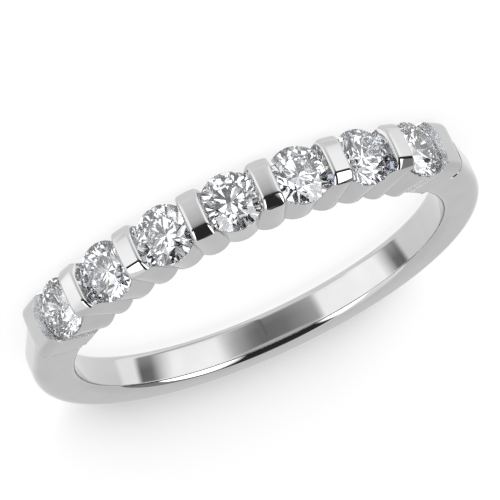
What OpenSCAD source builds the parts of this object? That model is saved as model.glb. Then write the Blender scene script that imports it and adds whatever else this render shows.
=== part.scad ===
// Bar set band: a ring with seven round stones held between polished bars.
// Frame: the origin is on the finger axis at mid width. +Z runs along the finger axis,
// +Y points to the middle stone and +X along the row of stones.

/* [Finger hole] */
// Inside radius of the ring
bore_radius = 8.5; // [7.8:0.05:9.6]
// Radius that rounds both inner edges for comfort
comfort_radius = 0.24; // [0.2:0.01:0.4]

/* [Shank] */
// Width of the shank along the finger
shank_width = 1.8; // [1.7:0.02:2]
// Thickness of the shank at the back of the finger
shank_thickness = 1.6; // [1.4:0.05:1.9]
// How much thicker the shank is at its sides than at the back of the finger
side_gain = 0.2; // [0.1:0.02:0.3]
// Radius that rounds the outer edges of the shank
shank_edge_radius = 0.6; // [0.4:0.05:0.8]

/* [Shoulders] */
// Lean of the straight shoulder sides towards the stones, in degrees
shoulder_lean = 9.4; // [8:0.2:11]
// Height of the shoulder crests above the finger hole
shoulder_height = 2.5; // [2.4:0.05:2.6]
// Radius that softens each crest seen from the side
crest_radius = 1.2; // [0.8:0.1:1.5]
// Radius that rounds the front and back edges of the crests
crest_edge_radius = 0.38; // [0.3:0.02:0.5]
// Width of the shoulders along the finger, between their bulging faces
shoulder_width = 2.36; // [2.3:0.02:2.44]
// Width of the crescent that each shoulder forms round its end stone
crescent_width = 1; // [0.85:0.05:1.15]
// How far the crescent stands above the rest of the shoulder
crescent_step = 0.05; // [0.03:0.01:0.08]
// Radius of the bulging front and back faces of each crescent, seen from above
crescent_bulge_radius = 1.3; // [1.22:0.02:2]

/* [Stones] */
// Diameter of each stone at its girdle
stone_diameter = 2.56; // [2.4:0.02:2.6]
// Height of the middle of the girdle above the finger hole
girdle_height = 2; // [1.9:0.02:2.1]
// Table width as a share of the diameter
table_share = 0.56; // [0.52:0.01:0.62]
// Girdle thickness as a share of the diameter
girdle_share = 0.03; // [0.02:0.005:0.04]
// Slope of the main facets above the girdle, in degrees
crown_angle = 34.5; // [32:0.5:36]
// Slope of the main facets below the girdle, in degrees
pavilion_angle = 41; // [40:0.2:42]

/* [Bars] */
// Width of each bar across its top
bar_width = 0.84; // [0.76:0.02:0.92]
// Width of each bar at the edges of the stones
bar_waist_width = 1.14; // [1.06:0.02:1.22]
// Width of the foot of each bar at the finger hole
bar_foot_width = 1.28; // [1.2:0.02:1.36]
// Height of the bars above the finger hole
bar_height = 2.72; // [2.6:0.02:2.85]
// Length of each bar along the finger, between its bulging ends
bar_length = 2.28; // [2.2:0.02:2.36]
// Radius that curves the bar tops down at both ends
bar_end_radius = 0.67; // [0.6:0.01:0.75]
// How far that curve would run on past the end faces, which leaves a crisp edge
bar_edge_overrun = 0.085; // [0.05:0.005:0.12]
// Radius of the bulging end faces, seen from above
bar_bulge_radius = 0.95; // [0.9:0.01:1.1]
// Radius that rounds the two long edges of each bar
bar_side_radius = 0.12; // [0.06:0.01:0.16]
// Radius of the slight crown along the top of each bar
bar_crown_radius = 8; // [6:0.5:20]
// Least width of metal left in a bar between the edges of two stones
web_width = 0.49; // [0.44:0.01:0.54]

/* [Gallery] */
// Width of the gallery along the finger, at the finger hole
gallery_width = 1.98; // [1.9:0.02:2.06]
// Radius of the gently bulging faces of the gallery at the finger hole, seen from above
gallery_bulge_radius = 1.7; // [1.5:0.1:2.2]
// Radius of each cup where it meets the finger hole
cup_foot_radius = 1.12; // [1.04:0.02:1.16]
// How far the edge of a stone reaches out over the lip of its cup
lip_inset = 0.02; // [0.01:0.005:0.04]
// How far the lip lies below the edge of the stone
lip_drop = 0.12; // [0.08:0.01:0.16]
// Radius of the open hole under each stone
light_hole_radius = 0.6; // [0.5:0.02:0.7]
// Clearance between a stone and its seat
seat_clearance = 0.03; // [0.02:0.005:0.05]
// Clearance between an end stone and the concave wall of its shoulder
shoulder_clearance = 0.06; // [0.05:0.01:0.1]

/* [Hidden] */
$fn = 96;
metal_colour = [0.86, 0.87, 0.88];
stone_colour = [0.93, 0.95, 1];

stone_total = 7;
bar_total = stone_total - 1;
stone_radius = stone_diameter / 2;
girdle_level = bore_radius + girdle_height;
bar_level = bore_radius + bar_height;
crest_level = bore_radius + shoulder_height;

// The middles of neighbouring stones stand this far apart
stone_spacing = stone_diameter + web_width;
pitch = 2 * asin(stone_spacing / 2 / girdle_level);
end_stone_angle = (stone_total - 1) / 2 * pitch;
shoulder_angle = stone_total / 2 * pitch;
// Bars and shoulders begin a quarter of a step from the middle of a stone
shoulder_start_angle = shoulder_angle - pitch / 4;

// The back of the shank is a circle whose centre is moved towards the stones
shank_outer = bore_radius + shank_thickness + side_gain;

// Bodies start this far inside their outer face, well within the finger hole
body_depth = 2.8;
// Cutting bodies run on past what they cut by this much
over = 1;

// Heights in a stone, measured from the middle of its girdle
girdle_half = girdle_share * stone_diameter / 2;
table_radius = table_share * stone_radius;
star_share = 0.5;
lower_tip_share = 0.23;
facet_step = 22.5;
table_apothem = table_radius * cos(facet_step);
star_radius = table_apothem + star_share * (stone_radius - table_apothem);
lower_tip_radius = lower_tip_share * stone_radius;
table_height = girdle_half + (stone_radius - table_radius) * tan(crown_angle);
star_height = girdle_half + (stone_radius - star_radius * cos(facet_step)) * tan(crown_angle);
lower_tip_depth = girdle_half + (stone_radius - lower_tip_radius * cos(facet_step)) * tan(pavilion_angle);
culet_depth = girdle_half + stone_radius * tan(pavilion_angle);

lip_level = girdle_level - girdle_half - lip_drop;
lip_radius = stone_radius - lip_inset;
seat_radius = stone_radius + seat_clearance;
wall_radius = stone_radius + shoulder_clearance;
crescent_radius = wall_radius + crescent_width;

// Spoke angle of a stone or bar, counted from the left: whole numbers are stones, halves are bars
function spoke(place) = (place - (stone_total + 1) / 2) * pitch;

// Places its children on a spoke of the ring, with their Z axis outwards, at the given level
module on_spoke(angle, level)
    rotate([0, 0, -angle]) translate([0, level, 0]) rotate([-90, 0, 0]) children();

// Section of a body with rounded outer edges, from its outer face inwards
module edged_section(outer, depth, width, edge) {
    translate([outer - depth, -width / 2]) square([depth - edge, width]);
    translate([outer - depth, edge - width / 2]) square([depth, width - 2 * edge]);
    for (side = [-1, 1])
        translate([outer - edge, side * (width / 2 - edge)]) circle(edge);
}

// The part of a ring between two spoke angles, less than 90 degrees apart
module sector(from_angle, to_angle) {
    reach = 2 * bar_level;
    linear_extrude(2 * bar_length, center = true)
        polygon([
            [0, 0],
            reach * [sin(from_angle), cos(from_angle)],
            reach * [sin(to_angle), cos(to_angle)]
        ]);
}

// What rounds the two inner edges of a body of the given width
module comfort_cut(width) {
    start = width / 2 - comfort_radius;
    for (side = [0, 1])
        mirror([0, 0, side])
            rotate_extrude()
                difference() {
                    translate([bore_radius - over, start]) square(comfort_radius + over);
                    translate([bore_radius + comfort_radius, start]) circle(comfort_radius);
                }
}

// Spoke angle at which the side of a shoulder runs into its crest
function crest_angle(outer) =
    let (reach = outer - crest_radius + side_gain * sin(shoulder_lean))
        asin(reach / (crest_level - crest_radius)) - shoulder_lean;

// One straight shoulder side and its crest, an arc that touches the side and the circle of the crests
module shoulder_side(outer, width, edge) {
    centre = (crest_level - crest_radius) * [sin(crest_angle(outer)), cos(crest_angle(outer))];
    side_length = (centre - [0, side_gain]) * [-sin(shoulder_lean), cos(shoulder_lean)];
    translate([0, side_gain, 0]) rotate([0, 0, shoulder_lean]) rotate([-90, 0, 0])
        linear_extrude(side_length) edged_section(outer, body_depth, width, edge);
    translate([centre[0], centre[1], 0])
        rotate_extrude() edged_section(crest_radius, crest_radius, width, edge);
}

// Shank: a round back and two straight sides, open where the stones are
module shank() {
    difference() {
        union() {
            translate([0, side_gain, 0])
                rotate_extrude() edged_section(shank_outer, body_depth, shank_width, shank_edge_radius);
            for (side = [0, 1])
                mirror([side, 0, 0]) shoulder_side(shank_outer, shank_width, shank_edge_radius);
        }
        sector(-shoulder_angle, 0);
        sector(0, shoulder_angle);
        comfort_cut(shank_width);
    }
}

// Right shoulder crescent: a disc round the end stone, with a bulging front and back and a concave wall
module crescent() {
    outer = shank_outer + crescent_step;
    difference() {
        intersection() {
            union() {
                shoulder_side(outer, shoulder_width, crest_edge_radius);
                intersection() {
                    rotate_extrude()
                        edged_section(crest_level, body_depth, shoulder_width, crest_edge_radius);
                    sector(end_stone_angle, crest_angle(outer));
                }
            }
            on_spoke(end_stone_angle, 0) cylinder(h = crest_level + over, r = crescent_radius);
            for (side = [-1, 1])
                on_spoke(shoulder_angle, 0)
                    translate([0, side * (shoulder_width / 2 - crescent_bulge_radius), 0])
                        cylinder(h = crest_level + over, r = crescent_bulge_radius);
        }
        sector(0, shoulder_start_angle);
        on_spoke(end_stone_angle, lip_level) cylinder(h = crest_level, r = wall_radius);
    }
}

// Cone round a spoke that is as wide as foot at the finger hole and as lip at the lip of a cup
module spoke_cone(foot, lip) {
    slope = (lip - foot) / (lip_level - bore_radius);
    translate([0, 0, bore_radius - over])
        cylinder(h = lip_level - bore_radius + over, r1 = foot - over * slope, r2 = lip);
}

// Cup under one stone, narrower at the finger hole than at its lip, with a gently bulging front and back
module cup(angle) {
    bulge_centre = gallery_width / 2 - gallery_bulge_radius;
    on_spoke(angle, 0)
        intersection() {
            spoke_cone(cup_foot_radius, lip_radius);
            for (side = [-1, 1])
                translate([0, side * bulge_centre, 0])
                    spoke_cone(gallery_bulge_radius, lip_radius - bulge_centre);
        }
}

// Cross-section of a bar: a wide foot, sides that lean in to the top and two rounded edges
module bar_section() {
    lean = atan((bar_waist_width - bar_width) / 2 / (bar_level - girdle_level));
    round_x = bar_width / 2 - bar_side_radius * (1 - sin(lean)) / cos(lean);
    round_y = bar_level - bar_side_radius;
    touch_x = round_x + bar_side_radius * cos(lean);
    touch_y = round_y + bar_side_radius * sin(lean);
    polygon([
        [-bar_foot_width / 2, bore_radius - over], [bar_foot_width / 2, bore_radius - over],
        [bar_foot_width / 2, bore_radius], [bar_waist_width / 2, girdle_level],
        [touch_x, touch_y], [round_x, round_y], [round_x, bar_level],
        [-round_x, bar_level], [-round_x, round_y], [-touch_x, touch_y],
        [-bar_waist_width / 2, girdle_level], [-bar_foot_width / 2, bore_radius]
    ]);
    for (side = [-1, 1])
        translate([side * round_x, round_y]) circle(bar_side_radius);
}

// One bar: bulging ends, and a lightly crowned top that curves down to them
module bar(angle) {
    top_width = bar_length + 2 * bar_edge_overrun;
    bulge_centre = bar_length / 2 - bar_bulge_radius;
    intersection() {
        rotate_extrude()
            intersection() {
                edged_section(bar_level, body_depth + over, top_width, bar_end_radius);
                translate([bar_level - bar_crown_radius, 0]) circle(bar_crown_radius);
            }
        on_spoke(angle, 0)
            intersection() {
                for (side = [-1, 1])
                    translate([0, side * bulge_centre, 0])
                        cylinder(h = bar_level + over, r = bar_bulge_radius);
            }
        rotate([0, 0, -angle])
            linear_extrude(2 * bar_length, center = true) bar_section();
    }
}

// Room for one stone and the open hole under it, with the seat clearance all round
module stone_room() {
    pavilion_gap = seat_clearance / cos(pavilion_angle);
    hole_depth = girdle_half + (stone_radius - light_hole_radius) * tan(pavilion_angle) + pavilion_gap;
    crown_slope = (star_height - girdle_half) / (stone_radius - star_radius);
    rotate_extrude()
        polygon([
            [0, -girdle_height - over],
            [light_hole_radius, -girdle_height - over],
            [light_hole_radius, -hole_depth],
            [seat_radius, -girdle_half + seat_clearance * tan(pavilion_angle) - pavilion_gap],
            [seat_radius, girdle_half],
            [star_radius, girdle_half + (seat_radius - star_radius) * crown_slope],
            [0, girdle_half + (seat_radius - star_radius) * crown_slope]
        ]);
}

// The band is one cast piece: shank, shoulders, cups and bars
module band()
    color(metal_colour)
        difference() {
            union() {
                shank();
                difference() {
                    union() {
                        for (side = [0, 1])
                            mirror([side, 0, 0]) crescent();
                        for (place = [1 : stone_total])
                            cup(spoke(place));
                        for (place = [1 : bar_total])
                            bar(spoke(place + 0.5));
                    }
                    comfort_cut(bar_length);
                }
            }
            cylinder(h = 2 * bar_length, r = bore_radius, center = true);
            for (place = [1 : stone_total])
                on_spoke(spoke(place), girdle_level) stone_room();
        }

// Ring of points of a stone: a radius, a height and the number of half steps that turn it
function facet_ring(count, radius, height, turn) =
    [for (i = [0 : count - 1]) let (a = turn * facet_step + i * 360 / count)
        [radius * cos(a), radius * sin(a), height]];

// Round brilliant cut stone, its girdle at the origin and its table towards +Z
module brilliant() {
    mains = 8;
    points = concat(
        facet_ring(mains, table_radius, table_height, 0),
        facet_ring(mains, star_radius, star_height, 1),
        facet_ring(2 * mains, stone_radius, girdle_half, 0),
        facet_ring(2 * mains, stone_radius, -girdle_half, 0),
        facet_ring(mains, lower_tip_radius, -lower_tip_depth, 1),
        [[0, 0, -culet_depth]]
    );
    table = 0;
    star = mains;
    upper = 2 * mains;
    lower = 4 * mains;
    tip = 6 * mains;
    culet = 7 * mains;
    faces = concat(
        [[for (i = [0 : mains - 1]) table + mains - 1 - i]],
        [for (i = [0 : mains - 1]) let (n = (i + 1) % mains) [table + i, table + n, star + i]],
        [for (i = [0 : mains - 1]) let (p = (i + mains - 1) % mains)
            [table + i, star + i, upper + 2 * i, star + p]],
        [for (i = [0 : mains - 1]) [star + i, upper + 2 * i + 1, upper + 2 * i]],
        [for (i = [0 : mains - 1]) let (n = (i + 1) % mains)
            [star + i, upper + 2 * n, upper + 2 * i + 1]],
        [for (i = [0 : 2 * mains - 1]) let (n = (i + 1) % (2 * mains))
            [upper + i, upper + n, lower + n, lower + i]],
        [for (i = [0 : mains - 1]) [lower + 2 * i, lower + 2 * i + 1, tip + i]],
        [for (i = [0 : mains - 1]) let (n = (i + 1) % mains) [lower + 2 * i + 1, lower + 2 * n, tip + i]],
        [for (i = [0 : mains - 1]) let (p = (i + mains - 1) % mains)
            [lower + 2 * i, tip + i, culet, tip + p]]
    );
    polyhedron(points, faces);
}

// The stone at a place in the row, set in its seat
module stone(place)
    color(stone_colour) on_spoke(spoke(place), girdle_level) brilliant();

band();
stone(1);  // stone_1
stone(2);  // stone_2
stone(3);  // stone_3
stone(4);  // stone_4
stone(5);  // stone_5
stone(6);  // stone_6
stone(7);  // stone_7
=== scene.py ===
# Bar set band: a slim ring of polished white metal with seven round stones between upright bars.
# It lies on its side on a pale table. The finger axis is Z, and the middle stone is at +Y.
import math

import bmesh
import bpy
from mathutils import Euler, Matrix, Vector


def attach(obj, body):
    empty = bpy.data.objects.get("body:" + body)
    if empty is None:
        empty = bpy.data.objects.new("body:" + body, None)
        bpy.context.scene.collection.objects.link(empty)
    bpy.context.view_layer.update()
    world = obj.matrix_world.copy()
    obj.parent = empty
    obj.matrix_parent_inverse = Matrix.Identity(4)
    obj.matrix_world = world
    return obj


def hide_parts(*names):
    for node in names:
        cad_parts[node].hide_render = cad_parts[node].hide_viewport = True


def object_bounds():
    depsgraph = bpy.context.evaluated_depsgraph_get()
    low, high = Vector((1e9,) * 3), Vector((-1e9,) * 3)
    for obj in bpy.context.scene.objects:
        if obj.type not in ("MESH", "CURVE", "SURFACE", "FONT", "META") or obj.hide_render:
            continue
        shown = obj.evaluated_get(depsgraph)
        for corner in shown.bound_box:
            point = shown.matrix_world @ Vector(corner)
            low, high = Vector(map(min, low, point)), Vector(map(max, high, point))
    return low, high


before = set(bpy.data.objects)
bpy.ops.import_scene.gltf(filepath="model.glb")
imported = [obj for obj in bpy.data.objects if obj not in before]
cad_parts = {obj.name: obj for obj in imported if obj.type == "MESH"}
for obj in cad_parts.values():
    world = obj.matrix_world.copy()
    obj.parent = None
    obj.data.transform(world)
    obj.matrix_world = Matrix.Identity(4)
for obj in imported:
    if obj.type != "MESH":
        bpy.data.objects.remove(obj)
cad_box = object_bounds()
scene = bpy.context.scene

# Camera: a long lens, so that the ring shows almost without perspective. It looks down on the stones
# and is rolled so that the row of stones rises to the right across the upper half of the picture.
lens = bpy.data.cameras.new("camera")
lens.lens = 469.4
lens.sensor_width = 36
lens.clip_start = 0.01
lens.clip_end = 5
camera_turns = (-71.079, -23.583, -5.507)
camera = bpy.data.objects.new("camera", lens)
camera.location = (-0.01031, 0.26415, 0.08123)
camera.rotation_euler = Euler([math.radians(degrees) for degrees in camera_turns], "XYZ")
scene.collection.objects.link(camera)
scene.camera = camera

# Table: one plain sheet of translucent white acrylic, a little lit from below, that the ring lies on.
# The ring lies level on the edges of its stones, which stand out furthest. The back of its shank is 0.4 mm
# above the sheet, where a real ring tips by about a degree until it touches.
sheet = bmesh.new()
bmesh.ops.create_circle(sheet, cap_ends=True, segments=96, radius=1.5)
sheet_mesh = bpy.data.meshes.new("table")
sheet.to_mesh(sheet_mesh)
sheet.free()
table = bpy.data.objects.new("table", sheet_mesh)
table.location.z = cad_box[0].z
table.visible_glossy = False
table.visible_transmission = False
scene.collection.objects.link(table)

acrylic = bpy.data.materials.new("table_acrylic")
acrylic.use_nodes = True
acrylic_look = acrylic.node_tree.nodes["Principled BSDF"].inputs
acrylic_look["Base Color"].default_value = (0.3, 0.3, 0.3, 1)
acrylic_look["Roughness"].default_value = 1
acrylic_look["Specular IOR Level"].default_value = 0
acrylic_look["Emission Color"].default_value = (1, 1, 1, 1)
acrylic_look["Emission Strength"].default_value = 0.475
table.data.materials.append(acrylic)

# Daylight: an even white sky, and one soft low lamp behind the camera. A curved flag round the back of
# the ring is the only thing that shades the lamp, so that the shadow is one soft patch behind the ring.
# Neither the lamp nor the flag shows in the polish or through the stones.
sky = bpy.data.worlds.new("sky")
sky.use_nodes = True
sky_look = sky.node_tree.nodes["Background"].inputs
sky_look["Color"].default_value = (1, 1, 1, 1)
sky_look["Strength"].default_value = 0.5
scene.world = sky

low_lamp = bpy.data.lights.new("low_lamp", "SUN")
low_lamp.energy = 18
low_lamp.angle = math.radians(26)
lamp = bpy.data.objects.new("low_lamp", low_lamp)
lamp.rotation_euler = Euler((math.radians(-76), 0, math.radians(-4)), "XYZ")
lamp.visible_glossy = False
lamp.visible_transmission = False
scene.collection.objects.link(lamp)

flag_radius = 0.0101
flag_foot = -0.0012
flag_head = 0.002
flag_start = math.radians(-58)
flag_sweep = math.radians(100)
curtain = bmesh.new()
foot = curtain.verts.new((0, -flag_radius, flag_foot))
head = curtain.verts.new((0, -flag_radius, flag_head))
hem = curtain.edges.new((foot, head))
bmesh.ops.rotate(curtain, verts=[foot, head], matrix=Matrix.Rotation(flag_start, 3, "Z"))
bmesh.ops.spin(
    curtain, geom=[foot, head, hem], cent=(0, 0, 0), axis=(0, 0, 1), dvec=(0, 0, 0), angle=flag_sweep,
    space=Matrix(), steps=24, use_merge=False
)
flag_mesh = bpy.data.meshes.new("flag")
curtain.to_mesh(flag_mesh)
curtain.free()
flag = bpy.data.objects.new("flag", flag_mesh)
flag.visible_camera = False
flag.visible_diffuse = False
flag.visible_glossy = False
flag.visible_transmission = False
scene.collection.objects.link(flag)
shades = bpy.data.collections.new("shades")
shades.objects.link(flag)
lamp.light_linking.blocker_collection = shades

# Tent in the polish: lit cloth left and right of the camera, with softer cloth on the far left, a dark
# gap at the camera that fades to grey towards the table, a grey screen on the far right and pale walls
# behind. It shows in reflections alone, and the camera sees none of it.
polish_tent_radius = 0.3


def hang_cloth(name, shape, seen_in_polish):
    """Hangs up a shape as glowing cloth that shows only in reflections, or only through the stones."""
    mesh = bpy.data.meshes.new(name)
    shape.to_mesh(mesh)
    shape.free()
    cloth = bpy.data.materials.new(name)
    cloth.use_nodes = True
    cloth.cycles.emission_sampling = "NONE"
    cloth.node_tree.nodes.remove(cloth.node_tree.nodes["Principled BSDF"])
    mesh.materials.append(cloth)
    thing = bpy.data.objects.new(name, mesh)
    thing.visible_camera = False
    thing.visible_shadow = False
    thing.visible_diffuse = False
    thing.visible_glossy = seen_in_polish
    thing.visible_transmission = not seen_in_polish
    scene.collection.objects.link(thing)
    return thing


def tent(name, radius, seen_in_polish):
    """A round tent about the ring. Returns the node tree of its cloth."""
    ball = bmesh.new()
    bmesh.ops.create_uvsphere(ball, u_segments=96, v_segments=48, radius=radius)
    bmesh.ops.reverse_faces(ball, faces=ball.faces)
    for panel in ball.faces:
        panel.smooth = True
    return hang_cloth(name, ball, seen_in_polish).active_material.node_tree


def own_axes(tree):
    """The place on a piece, as its X, Y and Z."""
    place = tree.nodes.new("ShaderNodeTexCoord")
    axes = tree.nodes.new("ShaderNodeSeparateXYZ")
    tree.links.new(place.outputs["Object"], axes.inputs[0])
    return axes.outputs


def reckon(tree, operation, first, second=None):
    """One sum in a material. The first term is a socket, and the second is a socket or a number."""
    step = tree.nodes.new("ShaderNodeMath")
    step.operation = operation
    tree.links.new(first, step.inputs[0])
    if isinstance(second, (int, float)):
        step.inputs[1].default_value = second
    elif second is not None:
        tree.links.new(second, step.inputs[1])
    return step.outputs[0]


def tone_ramp(tree, share, stops):
    """Greys along a share from 0 to 1, from stops of a position and a brightness."""
    tones = tree.nodes.new("ShaderNodeValToRGB")
    elements = tones.color_ramp.elements
    for number, (position, brightness) in enumerate(stops):
        stop = elements[number] if number < 2 else elements.new(position)
        stop.position = position
        stop.color = (brightness, brightness, brightness, 1)
    tree.links.new(share, tones.inputs["Fac"])
    return tones.outputs["Color"]


def angle_ramp(tree, angle, widest, stops):
    """Greys along an angle, from stops in degrees between minus and plus the widest one."""
    share = tree.nodes.new("ShaderNodeMapRange")
    share.inputs["From Min"].default_value = -math.radians(widest)
    share.inputs["From Max"].default_value = math.radians(widest)
    tree.links.new(angle, share.inputs["Value"])
    places = [((degrees + widest) / (2 * widest), brightness) for degrees, brightness in stops]
    return tone_ramp(tree, share.outputs["Result"], places)


def on_surface(tree, shader):
    """Makes a shader the surface of its material."""
    tree.links.new(shader.outputs[0], tree.nodes["Material Output"].inputs["Surface"])


gap_tones = (
    (-60, 0.3), (-36, 0.31), (-22, 0.28), (-13, 0.21), (-7, 0.08), (-3, 0.01), (74, 0.01), (90, 0.1)
)
lit_tones = (
    (-60, 0.27), (-30, 0.3), (-20, 0.42), (-6, 0.45), (-4, 0.01), (7, 0.01), (9, 1), (72, 1), (75, 0.01)
)
soft_tones = ((-60, 0.3), (-20, 0.45), (0, 0.4), (20, 0.34), (90, 0.3))
screen_tones = (
    (-60, 0.32), (-10, 0.38), (-6, 0.35), (-3, 0.01), (8, 0.01), (10, 0.09), (58, 0.09), (61, 0.01)
)
wall_tones = ((-60, 0.29), (-18, 0.29), (4, 0.24), (20, 0.235), (60, 0.25), (90, 0.26))
lit_places = ((-30, 1), (-22.5, 0), (20.5, 0), (32, 1))
soft_places = ((-62, 1), (-54, 0))
screen_places = ((78, 0), (80, 1))
wall_places = ((-94, 1), (-91, 0), (107, 0), (111, 1))

polish = tent("polish_tent", polish_tent_radius, seen_in_polish=True)
tent_axes = own_axes(polish)
azimuth = reckon(polish, "ARCTAN2", tent_axes["X"], tent_axes["Y"])
elevation = reckon(polish, "ARCSINE", reckon(polish, "DIVIDE", tent_axes["Z"], polish_tent_radius))
sideways = reckon(polish, "ARCSINE", reckon(polish, "DIVIDE", tent_axes["X"], polish_tent_radius))
polish_tone = angle_ramp(polish, elevation, 90, gap_tones)
for angle, widest, places, tones in (
    (sideways, 90, lit_places, lit_tones),
    (azimuth, 180, soft_places, soft_tones),
    (azimuth, 180, screen_places, screen_tones),
    (azimuth, 180, wall_places, wall_tones)
):
    layer = polish.nodes.new("ShaderNodeMixRGB")
    polish.links.new(angle_ramp(polish, angle, widest, places), layer.inputs["Fac"])
    polish.links.new(polish_tone, layer.inputs["Color1"])
    polish.links.new(angle_ramp(polish, elevation, 90, tones), layer.inputs["Color2"])
    polish_tone = layer.outputs["Color"]
polish_light = polish.nodes.new("ShaderNodeEmission")
polish_light.inputs["Strength"].default_value = 3.2
polish.links.new(polish_tone, polish_light.inputs["Color"])
on_surface(polish, polish_light)

# Dim glowing cards, upright below the finger hole, that show in reflections alone and stand in for the
# shaded table there: painted shade in the polish. The wide one stands across it and gives the inner wall
# its soft dark patch. The narrow one stands along it, reaches up into the hole a little and gives the wall
# a dark streak at each end.
card_fade_from = -0.445
card_fade_to = 0.33


def dark_card(name, turn, middle, size, cover_stops, tone_stops):
    """One card with soft edges. Its stops run across it from 0 to 1, and it fades towards its foot."""
    felt = bmesh.new()
    bmesh.ops.create_grid(felt, x_segments=1, y_segments=1, size=0.5)
    card = hang_cloth(name, felt, seen_in_polish=True)
    card.rotation_euler = Euler((math.pi / 2, 0, turn), "XYZ")
    card.location = middle
    card.scale = (size[0], size[1], 1)

    tree = card.active_material.node_tree
    card_axes = own_axes(tree)
    across = reckon(tree, "ADD", card_axes["X"], 0.5)
    fade = tree.nodes.new("ShaderNodeMapRange")
    fade.inputs["From Min"].default_value = card_fade_from
    fade.inputs["From Max"].default_value = card_fade_to
    tree.links.new(card_axes["Y"], fade.inputs["Value"])
    cover = reckon(tree, "MULTIPLY", tone_ramp(tree, across, cover_stops), fade.outputs["Result"])
    dim = tree.nodes.new("ShaderNodeEmission")
    tree.links.new(tone_ramp(tree, across, tone_stops), dim.inputs["Color"])
    clear_edge = tree.nodes.new("ShaderNodeBsdfTransparent")
    blend = tree.nodes.new("ShaderNodeMixShader")
    tree.links.new(cover, blend.inputs["Fac"])
    tree.links.new(clear_edge.outputs[0], blend.inputs[1])
    tree.links.new(dim.outputs[0], blend.inputs[2])
    on_surface(tree, blend)


dark_card(
    "wide_card", turn=0, middle=(0, 0, -0.006), size=(0.008, 0.009),
    cover_stops=((0.2, 0), (0.26, 1), (0.66, 1), (0.92, 0)),
    tone_stops=((0.27, 0.5), (0.45, 0.25), (0.6, 0.21), (0.72, 0.4))
)
dark_card(
    "narrow_card", turn=math.pi / 2, middle=(0, -0.0057, -0.0039), size=(0.0012, 0.0068),
    cover_stops=((0.03, 0), (0.22, 1), (0.55, 1), (0.97, 0)), tone_stops=((0, 0.15), (1, 0.28))
)

# Tent behind the stones: a patchwork of bare lamps, a few of them bluish, between black and grey cloth,
# and the dark shape of the camera, which gives the stones their sparkle and their dark star.
sparkle_strength = 1.73
camera_shade = math.radians(9)
sparkle = tent("sparkle_tent", 0.2, seen_in_polish=False)
sparkle_place = sparkle.nodes.new("ShaderNodeTexCoord").outputs["Object"]
patches = sparkle.nodes.new("ShaderNodeTexVoronoi")
patches.inputs["Scale"].default_value = 15
sparkle.links.new(sparkle_place, patches.inputs["Vector"])
pick = sparkle.nodes.new("ShaderNodeSeparateColor")
sparkle.links.new(patches.outputs["Color"], pick.inputs[0])
lamps = sparkle.nodes.new("ShaderNodeValToRGB")
lamps.color_ramp.interpolation = "CONSTANT"
lamp_stops = lamps.color_ramp.elements
lamp_stops[0].color = (0.01, 0.01, 0.012, 1)
lamp_stops[1].position = 0.39
lamp_stops[1].color = (0.25, 0.25, 0.255, 1)
lamp_stops.new(0.51).color = (1, 1, 1, 1)
lamp_stops.new(0.88).color = (0.68, 0.74, 0.98, 1)
lamp_stops.new(0.91).color = (0.6, 0.6, 0.6, 1)
sparkle.links.new(pick.outputs[0], lamps.inputs["Fac"])
toward = sparkle.nodes.new("ShaderNodeVectorMath")
toward.operation = "NORMALIZE"
sparkle.links.new(sparkle_place, toward.inputs[0])
facing = sparkle.nodes.new("ShaderNodeVectorMath")
facing.operation = "DOT_PRODUCT"
facing.inputs[1].default_value = camera.location.normalized()
sparkle.links.new(toward.outputs["Vector"], facing.inputs[0])
beside_camera = reckon(sparkle, "LESS_THAN", facing.outputs["Value"], math.cos(camera_shade))
sparkle_light = sparkle.nodes.new("ShaderNodeEmission")
sparkle.links.new(lamps.outputs["Color"], sparkle_light.inputs["Color"])
lit_strength = reckon(sparkle, "MULTIPLY", beside_camera, sparkle_strength)
sparkle.links.new(lit_strength, sparkle_light.inputs["Strength"])
on_surface(sparkle, sparkle_light)

# Band: shank, shoulders, bars and scalloped gallery are one casting of rhodium plated white gold, buffed to
# a mirror. The wheel leaves faint waves, which vary its tone and gloss a little. The wall of the hollow
# beside each end stone is rougher and painted nearly white, a painted sheen in place of the stone's
# reflection there.
metal = bpy.data.materials.new("polished_metal")
metal.use_nodes = True
metal_nodes = metal.node_tree.nodes
metal_links = metal.node_tree.links
metal_look = metal_nodes["Principled BSDF"].inputs
metal_look["Metallic"].default_value = 1
metal_place = metal_nodes.new("ShaderNodeTexCoord")
waves = metal_nodes.new("ShaderNodeTexNoise")
waves.inputs["Scale"].default_value = 900
waves.inputs["Detail"].default_value = 3
metal_links.new(metal_place.outputs["Object"], waves.inputs["Vector"])
# Faces marked below get a painted sheen: rougher, and painted nearly white.
painted_sheen = metal_nodes.new("ShaderNodeAttribute")
painted_sheen.attribute_name = "painted_sheen"
gloss = metal_nodes.new("ShaderNodeMapRange")
gloss.inputs["To Min"].default_value = 0.03
gloss.inputs["To Max"].default_value = 0.07
metal_links.new(waves.outputs["Fac"], gloss.inputs["Value"])
finish = metal_nodes.new("ShaderNodeMix")
finish.inputs["B"].default_value = 0.34
metal_links.new(painted_sheen.outputs["Fac"], finish.inputs["Factor"])
metal_links.new(gloss.outputs["Result"], finish.inputs["A"])
metal_links.new(finish.outputs["Result"], metal_look["Roughness"])
white_gold = metal_nodes.new("ShaderNodeValToRGB")
white_gold.color_ramp.elements[0].position = 0.3
white_gold.color_ramp.elements[0].color = (0.6, 0.6, 0.605, 1)
white_gold.color_ramp.elements[1].position = 0.7
white_gold.color_ramp.elements[1].color = (0.64, 0.64, 0.645, 1)
metal_links.new(waves.outputs["Fac"], white_gold.inputs["Fac"])
# Painted sheen: the marked hollow walls are painted nearly white.
metal_colour = metal_nodes.new("ShaderNodeMixRGB")
metal_colour.inputs["Color2"].default_value = (0.97, 0.97, 0.97, 1)
metal_links.new(painted_sheen.outputs["Fac"], metal_colour.inputs["Fac"])
metal_links.new(white_gold.outputs["Color"], metal_colour.inputs["Color1"])
metal_links.new(metal_colour.outputs["Color"], metal_look["Base Color"])

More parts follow.
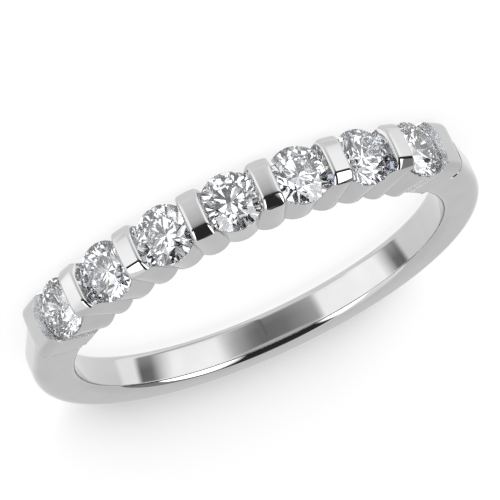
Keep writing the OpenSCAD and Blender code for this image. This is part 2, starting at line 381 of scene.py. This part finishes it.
bore_radius = 0.0085
girdle_level = 0.0105
stone_spacing = 0.00305
pitch = 2 * math.asin(stone_spacing / 2 / girdle_level)
end_spoke = 3 * pitch
merge_reach = 1e-7
cut_reach = 1e-9


def saw(body, faces, point, outward, clear_outer):
    """Saws some faces of a body along a plane, and may clear away what lies beyond it."""
    edges = list(dict.fromkeys(edge for face in faces for edge in face.edges))
    corners = list(dict.fromkeys(vertex for face in faces for vertex in face.verts))
    bmesh.ops.bisect_plane(
        body, geom=faces + edges + corners, plane_co=point, plane_no=outward, clear_outer=clear_outer,
        dist=cut_reach
    )


def slice_off(body, point, outward):
    """Takes off all of a body that lies beyond a plane and closes the cut with one flat face."""
    everything = body.verts[:] + body.edges[:] + body.faces[:]
    cut = bmesh.ops.bisect_plane(
        body, geom=everything, plane_co=point, plane_no=outward, clear_outer=True, dist=cut_reach
    )
    rim = [part for part in cut["geom_cut"] if isinstance(part, bmesh.types.BMEdge)]
    bmesh.ops.contextual_create(body, geom=rim)


# The head comes from the solid: its shank is sawn off at each shoulder and cleared away.
shank_end = math.radians(67)
flank_inner = 0.002
flank_lowest = -0.006
old_shank_level = 0.001
cast = bmesh.new()
cast.from_mesh(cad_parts["band"].data)
bmesh.ops.remove_doubles(cast, verts=cast.verts, dist=merge_reach)
bmesh.ops.recalc_face_normals(cast, faces=cast.faces)
for side in (-1, 1):
    flank = []
    for face in cast.faces:
        if all(side * v.co.x > flank_inner and v.co.y > flank_lowest for v in face.verts):
            flank.append(face)
    backward = Vector((side * math.cos(shank_end), -math.sin(shank_end), 0))
    saw(cast, flank, (0, 0, 0), backward, clear_outer=True)
old_shank = [face for face in cast.faces if any(v.co.y < old_shank_level for v in face.verts)]
bmesh.ops.delete(cast, geom=old_shank, context="FACES")

# The lower corner of each shoulder's end, above and below, is filed to a soft scallop, and the heel between
# the scallop and the shank is drawn in to match. Angles here are in degrees from the middle stone, and
# heights are from the ring's middle plane.
bore_skin = 0.00001
end_span = (54, 65)
scallop_span = (54.2, 63.7)
scallop_line = 0.0009
scallop_start = 0.00093
scallop_blend = 0.00015
scallop_reach = 0.00885
scallop_middle = 57
scallop_half = 6.5
scallop_lift = 0.0004
scallop_flare = 0.0003
tip_from = 59
tip_pull = 0.65
heel_span = (63.9, 64.3)
heel_height = 0.001
heel_reach = 0.0086
heel_level = 0.00094
for line in (-scallop_line, scallop_line):
    inner_wall = []
    for face in cast.faces:
        turns = [math.degrees(abs(math.atan2(v.co.x, v.co.y))) for v in face.verts]
        reach = max(v.co.xy.length for v in face.verts)
        if reach < bore_radius + bore_skin and min(turns) > end_span[0] and max(turns) < end_span[1]:
            inner_wall.append(face)
    saw(cast, inner_wall, (0, 0, line), (0, 0, 1), clear_outer=False)
for vertex in cast.verts:
    turn = math.degrees(math.atan2(abs(vertex.co.x), vertex.co.y))
    reach = vertex.co.xy.length
    height = abs(vertex.co.z)
    in_scallop = scallop_span[0] < turn < scallop_span[1] and reach < scallop_reach
    on_heel = heel_span[0] < turn < heel_span[1] and reach < heel_reach
    if in_scallop and height > scallop_start:
        filed_share = min((height - scallop_start) / scallop_blend, 1)
        flare = scallop_flare * ((turn - scallop_middle) / scallop_half) ** 2
        lifted = reach + filed_share * (scallop_lift + flare)
        turned = math.radians(turn - filed_share * tip_pull * max(turn - tip_from, 0))
        vertex.co.x = math.copysign(lifted * math.sin(turned), vertex.co.x)
        vertex.co.y = lifted * math.cos(turned)
    elif on_heel and height > heel_height:
        vertex.co.z = math.copysign(heel_level, vertex.co.z)

# The shank is swept anew round the back, with rounded inner edges for comfort and a rounder outer side.
# From each shoulder its outer side runs straight for a little, and then it follows a round back.
shank_thickness = 0.0016
shank_width = 0.0018
shank_middle = bore_radius + shank_thickness / 2
shank_outside = bore_radius + shank_thickness
inner_rounding = 0.00032
outer_rounding = 0.0006
shank_overlap = math.radians(0.1)
shank = bmesh.new()
bmesh.ops.create_grid(shank, x_segments=1, y_segments=1, size=0.5)
bmesh.ops.scale(shank, verts=shank.verts, vec=(shank_thickness, shank_width, 1))
bmesh.ops.translate(shank, verts=shank.verts, vec=(shank_middle, 0, 0))
bmesh.ops.rotate(shank, verts=shank.verts, matrix=Matrix.Rotation(math.pi / 2, 3, "X"))
inner_corners = [v for v in shank.verts if v.co.x < shank_middle]
outer_corners = [v for v in shank.verts if v.co.x > shank_middle]
for rounding, corners in ((inner_rounding, inner_corners), (outer_rounding, outer_corners)):
    bmesh.ops.bevel(
        shank, geom=corners, offset=rounding, offset_type="OFFSET", segments=10, profile=0.5,
        affect="VERTICES", material=-1
    )
shank_start = Matrix.Rotation(math.pi / 2 - shank_end + shank_overlap, 3, "Z")
bmesh.ops.rotate(shank, verts=shank.verts, matrix=shank_start)
shank_section = shank.verts[:] + shank.edges[:] + shank.faces[:]
bmesh.ops.spin(
    shank, geom=shank_section, cent=(0, 0, 0), axis=(0, 0, -1), dvec=(0, 0, 0),
    angle=2 * (math.pi - shank_end + shank_overlap), space=Matrix(), steps=180, use_merge=False
)

back_radius = 0.0103
back_shift = 0.0002
side_slope = math.radians(9.4)
side_end = math.radians(79.5)
side_distance = back_radius + back_shift * math.sin(side_slope)
for vertex in shank.verts:
    reach = vertex.co.xy.length
    if reach > shank_middle:
        from_top = abs(math.atan2(vertex.co.x, vertex.co.y))
        if from_top < side_end:
            outline = side_distance / math.sin(from_top + side_slope)
        else:
            back_reach = math.sqrt(back_radius ** 2 - (back_shift * math.sin(from_top)) ** 2)
            outline = back_shift * math.cos(from_top) + back_reach
        vertex.co.xy *= (reach + outline - shank_outside) / reach
bmesh.ops.recalc_face_normals(shank, faces=shank.faces)

# The tops of the six bars, which show most, are filed anew. Each has a lightly crowned top that curves
# down at both ends, softly rounded long edges and bulging, crisp end faces. One is made and set six times.
bar_width = 0.00084
bar_height = 0.00092
bar_length = 0.00245
bar_foot_share = 1.457
bar_cut_level = 0.01076
bar_crest = bar_cut_level + bar_height / 2
bar_end_rounding = 0.00067
bar_edge_rounding = 0.00014
crown_radius = 0.008
flank_slope = 0.2087
end_face_radius = 0.00095
end_face_middle = 0.00019
end_face_leans = range(-36, 37, 6)
crest_skin = 0.00002
level_limit = 0.1
steep_limit = 0.9
skyward_limit = 0.02
bar_top = bmesh.new()
bmesh.ops.create_cube(bar_top, size=1)
bmesh.ops.scale(bar_top, verts=bar_top.verts, vec=(bar_width, bar_height, bar_length))
bmesh.ops.translate(bar_top, verts=bar_top.verts, vec=(0, bar_cut_level, 0))
bar_feet = [v for v in bar_top.verts if v.co.y < bar_cut_level]
bmesh.ops.scale(bar_top, verts=bar_feet, vec=(bar_foot_share, 1, 1))
end_edges = []
for edge in bar_top.edges:
    run = abs(edge.verts[0].co.z - edge.verts[1].co.z)
    if run < merge_reach and all(v.co.y > bar_crest - crest_skin for v in edge.verts):
        end_edges.append(edge)
bmesh.ops.bevel(
    bar_top, geom=end_edges, offset=bar_end_rounding, offset_type="OFFSET", segments=18, profile=0.5,
    affect="EDGES", material=-1
)
crest_edges = []
for edge in bar_top.edges:
    run = abs(edge.verts[0].co.z - edge.verts[1].co.z)
    if run > bar_length / 4 and all(v.co.y > bar_crest - crest_skin for v in edge.verts):
        crest_edges.append(edge)
bmesh.ops.subdivide_edges(bar_top, edges=crest_edges, cuts=14, use_grid_fill=True)
bar_top.normal_update()
long_edges = []
for edge in bar_top.edges:
    by_lean = sorted(edge.link_faces, key=lambda face: abs(face.normal.x))
    top_face, flank_face = by_lean[0], by_lean[-1]
    is_corner = abs(top_face.normal.x) < level_limit and abs(flank_face.normal.x) > steep_limit
    if is_corner and top_face.normal.y > skyward_limit:
        long_edges.append(edge)
bmesh.ops.bevel(
    bar_top, geom=long_edges, offset=bar_edge_rounding, offset_type="OFFSET", segments=6, profile=0.5,
    affect="EDGES", material=-1
)
for vertex in bar_top.verts:
    if vertex.co.y > girdle_level:
        drop = crown_radius - math.sqrt(crown_radius ** 2 - vertex.co.z ** 2)
        vertex.co.y -= drop
        if abs(vertex.co.x) > bar_width / 2 - bar_edge_rounding + crest_skin:
            vertex.co.x += math.copysign(flank_slope * drop, vertex.co.x)
for side in (-1, 1):
    for degrees in end_face_leans:
        lean = math.radians(degrees)
        endward = Vector((math.sin(lean), 0, side * math.cos(lean)))
        slice_off(bar_top, Vector((0, 0, side * end_face_middle)) + end_face_radius * endward, endward)
bmesh.ops.recalc_face_normals(bar_top, faces=bar_top.faces)
saw(bar_top, bar_top.faces[:], (0, bar_cut_level, 0), (0, -1, 0), clear_outer=True)

rough_half = 0.0007
bar_places = (-2.5, -1.5, -0.5, 0.5, 1.5, 2.5)
bar_spokes = [place * pitch for place in bar_places]
for spoke in bar_spokes:
    up = Vector((math.sin(spoke), math.cos(spoke), 0))
    across = Vector((math.cos(spoke), -math.sin(spoke), 0))
    rough = []
    for face in cast.faces:
        beside = max(abs(v.co.dot(across)) for v in face.verts)
        if beside < rough_half and max(v.co.dot(up) for v in face.verts) > bar_cut_level:
            rough.append(face)
    saw(cast, rough, up * bar_cut_level, up, clear_outer=True)
for spoke in bar_spokes:
    filed = bpy.data.meshes.new("bar_top")
    bar_top.to_mesh(filed)
    filed.transform(Matrix.Rotation(-spoke, 4, "Z"))
    cast.from_mesh(filed)
    bpy.data.meshes.remove(filed)
bar_top.free()
swept = bpy.data.meshes.new("shank")
shank.to_mesh(swept)
shank.free()
cast.from_mesh(swept)
bpy.data.meshes.remove(swept)

# The wall of the hollow beside each end stone looks back at the stone. It is marked for a painted sheen,
# which hides the stone's reflection there.
hollow_radius = 0.0016
hollow_floor = 0.0086
upright_limit = 0.4
inward_limit = -0.03
painted_sheen_faces = cast.faces.layers.float.new("painted_sheen")
for side in (-1, 1):
    up = Vector((math.sin(side * end_spoke), math.cos(side * end_spoke), 0))
    away = Vector((side * up.y, -side * up.x, 0))
    for face in cast.faces:
        middle = face.calc_center_median()
        beside = middle.dot(away)
        in_hollow = 0 < beside and math.hypot(beside, middle.z) < hollow_radius
        is_upright = middle.dot(up) > hollow_floor and abs(face.normal.dot(up)) < upright_limit
        if in_hollow and is_upright and face.normal.dot(away) < inward_limit:
            face[painted_sheen_faces] = 1

crisp_angle = math.radians(24)
for face in cast.faces:
    face.smooth = True
for edge in cast.edges:
    edge.smooth = len(edge.link_faces) == 2 and edge.calc_face_angle(0) < crisp_angle
band_mesh = bpy.data.meshes.new("polished_band")
cast.to_mesh(band_mesh)
cast.free()
band = bpy.data.objects.new("polished_band", band_mesh)
scene.collection.objects.link(band)
even_polish = band.modifiers.new("even_polish", "WEIGHTED_NORMAL")
even_polish.keep_sharp = True
band.data.materials.append(metal)
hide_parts("band")
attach(band, "root")

# Stones: colourless round brilliants, highly refractive, with the faintest cool cast in places. One is
# turned as a round blank and ground with 57 flat facets, which meet the round girdle in small arches.
# Seven alike are set, each turned a little differently in its seat.
clear = bpy.data.materials.new("clear_stone")
clear.use_nodes = True
clear_nodes = clear.node_tree.nodes
clear_links = clear.node_tree.links
clear_nodes.remove(clear_nodes["Principled BSDF"])
stone_place = clear_nodes.new("ShaderNodeTexCoord")
clouds = clear_nodes.new("ShaderNodeTexNoise")
clouds.inputs["Scale"].default_value = 700
clear_links.new(stone_place.outputs["Object"], clouds.inputs["Vector"])
tint = clear_nodes.new("ShaderNodeValToRGB")
tint.color_ramp.elements[0].position = 0.4
tint.color_ramp.elements[0].color = (0.985, 0.99, 1, 1)
tint.color_ramp.elements[1].position = 0.6
tint.color_ramp.elements[1].color = (1, 1, 1, 1)
clear_links.new(clouds.outputs["Fac"], tint.inputs["Fac"])
glass = clear_nodes.new("ShaderNodeBsdfGlass")
glass.inputs["Roughness"].default_value = 0
glass.inputs["IOR"].default_value = 2.42
clear_links.new(tint.outputs["Color"], glass.inputs["Color"])
on_surface(clear.node_tree, glass)


def grind(stone, turn, slope, point):
    """Grinds one flat facet through a point, at a turn round the stone and with a slope from its axis."""
    side_share = math.sin(slope)
    outward = Vector((side_share * math.cos(turn), side_share * math.sin(turn), math.cos(slope)))
    slice_off(stone, point, outward)


def on_stone(turn, radius, height):
    """A point of the stone at a turn round its axis, a radius and a height above its girdle."""
    return Vector((math.cos(turn) * radius, math.sin(turn) * radius, height))


girdle_radius = 0.00128
girdle_half = 0.03 * girdle_radius
crown_slope = math.radians(34.5)
pavilion_slope = math.radians(41)
table_radius = 0.56 * girdle_radius
table_apothem = table_radius * math.cos(math.pi / 8)
table_level = girdle_half + (girdle_radius - table_radius) * math.tan(crown_slope)
star_radius = (table_apothem + girdle_radius) / 2
star_level = girdle_half + (girdle_radius - star_radius * math.cos(math.pi / 8)) * math.tan(crown_slope)
star_slope = math.atan2(table_level - star_level, star_radius - table_apothem)
tip_radius = 0.23 * girdle_radius
tip_level = -girdle_half - (girdle_radius - tip_radius * math.cos(math.pi / 8)) * math.tan(pavilion_slope)
star_reach = star_radius * math.cos(math.pi / 16)
tip_reach = tip_radius * math.cos(math.pi / 16)
upper_slope = math.atan2(star_level - girdle_half, girdle_radius - star_reach)
lower_slope = math.atan2(-girdle_half - tip_level, girdle_radius - tip_reach)

brilliant = bmesh.new()
bmesh.ops.create_cone(
    brilliant, cap_ends=True, segments=96, radius1=girdle_radius, radius2=girdle_radius,
    depth=2.2 * girdle_radius
)
for number in range(8):
    main = number * math.pi / 4
    grind(brilliant, main, crown_slope, on_stone(main, girdle_radius, girdle_half))
    grind(brilliant, main, math.pi - pavilion_slope, on_stone(main, girdle_radius, -girdle_half))
for number in range(16):
    half = (number + 0.5) * math.pi / 8
    grind(brilliant, half, upper_slope, on_stone(half, star_reach, star_level))
    grind(brilliant, half, math.pi - lower_slope, on_stone(half, tip_reach, tip_level))
for number in range(8):
    between = (number + 0.5) * math.pi / 4
    grind(brilliant, between, star_slope, on_stone(between, star_radius, star_level))
grind(brilliant, 0, 0, Vector((0, 0, table_level)))
bmesh.ops.recalc_face_normals(brilliant, faces=brilliant.faces)

middle_stone = 4
stone_turns = (3, 9, 15, 4, 18, 12, 7)
for number, degrees in enumerate(stone_turns, start=1):
    stone_mesh = bpy.data.meshes.new(f"brilliant_{number}")
    brilliant.to_mesh(stone_mesh)
    stone_mesh.transform(Matrix.Rotation(math.radians(degrees), 4, "Z"))
    stone_mesh.transform(Matrix.Rotation(-math.pi / 2, 4, "X"))
    stone_mesh.transform(Matrix.Translation((0, girdle_level, 0)))
    stone_mesh.transform(Matrix.Rotation((middle_stone - number) * pitch, 4, "Z"))
    stone = bpy.data.objects.new(f"brilliant_{number}", stone_mesh)
    scene.collection.objects.link(stone)
    stone.data.materials.append(clear)
    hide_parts(f"stone_{number}")
    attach(stone, "root")
brilliant.free()

# Picture: plain tones, and light paths long enough for the reflections inside the stones.
scene.view_settings.view_transform = "Standard"
scene.view_settings.look = "None"
scene.cycles.max_bounces = 32
scene.cycles.transmission_bounces = 28
scene.cycles.glossy_bounces = 16
scene.cycles.diffuse_bounces = 3
scene.cycles.caustics_reflective = False
scene.cycles.caustics_refractive = False
scene.cycles.sample_clamp_indirect = 10
